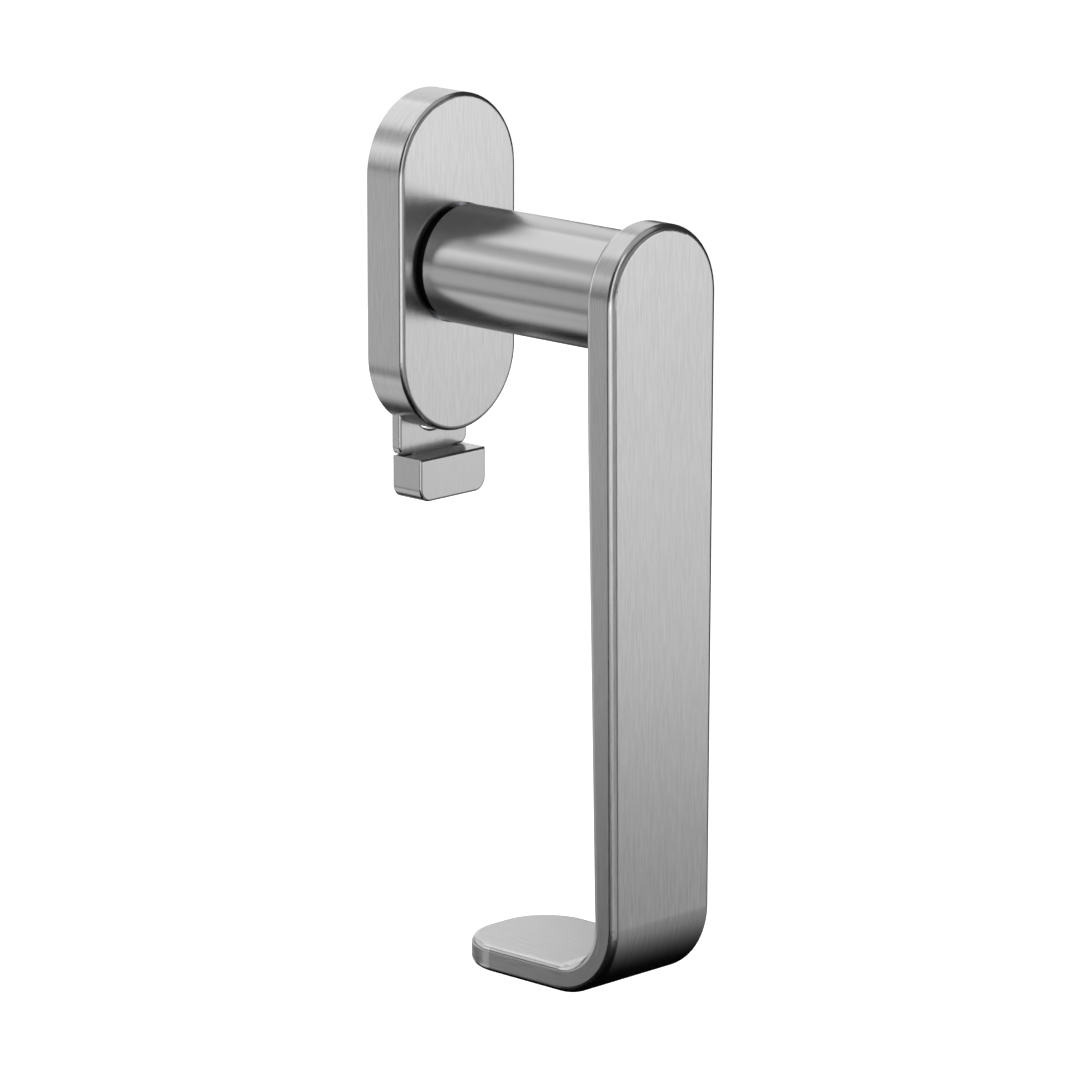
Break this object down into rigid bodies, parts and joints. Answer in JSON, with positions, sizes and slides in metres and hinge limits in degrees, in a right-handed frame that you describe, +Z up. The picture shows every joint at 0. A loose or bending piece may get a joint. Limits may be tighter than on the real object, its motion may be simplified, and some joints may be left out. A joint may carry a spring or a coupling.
{
  "type": "window handle",
  "caption": "Window handle with a stadium-shaped rose, a round neck, a flat strip lever bent into a hook at the foot, and a sliding lock under the rose.",
  "frame": {"origin": "turning axis of the neck on the mounting plane, midway between the locating bosses", "axes": "+X to the right seen from the room, +Y into the window along the spindle, +Z up"},
  "size_m": [0.033, 0.0797, 0.1783],
  "materials": {
    "satin_stainless": "fine vertical brush, satin",
    "cast_zinc": "plain die-cast zinc",
    "plated_steel": "zinc plated",
    "spring_steel": "rolled spring steel",
    "bush_plastic": "moulded acetal"
  },
  "bodies": {
    "rose": {"rose_cover": "satin_stainless", "rose_base": "cast_zinc", "bearing_plate": "plated_steel", "plate_rivets": "plated_steel", "neck_bush": "bush_plastic", "detent_spring_left": "spring_steel", "detent_spring_right": "spring_steel", "upper_fixing_screw": "plated_steel", "lower_fixing_screw": "plated_steel", "cover_grub_screw": "plated_steel", "lock_spring": "spring_steel"},
    "handle": {"lever": "satin_stainless", "neck": "satin_stainless", "spindle": "plated_steel", "spindle_pin": "spring_steel", "detent_cam": "plated_steel", "retaining_ring": "spring_steel"},
    "lock": {"lock_slider": "satin_stainless", "lock_grip": "satin_stainless", "grip_pins": "plated_steel"}
  },
  "joints": [
    {"name": "handle_turn", "type": "hinge", "parent": "rose", "child": "handle", "pos_m": [0, 0, 0], "axis": [0, -1, 0], "range_deg": [-180, 180], "deforming": ["detent_spring_left", "detent_spring_right"]},
    {"name": "lock_slide", "type": "slide", "parent": "rose", "child": "lock", "axis": [0, 0, 1], "range_m": [0, 0.0048], "deforming": ["lock_spring"]}
  ]
}
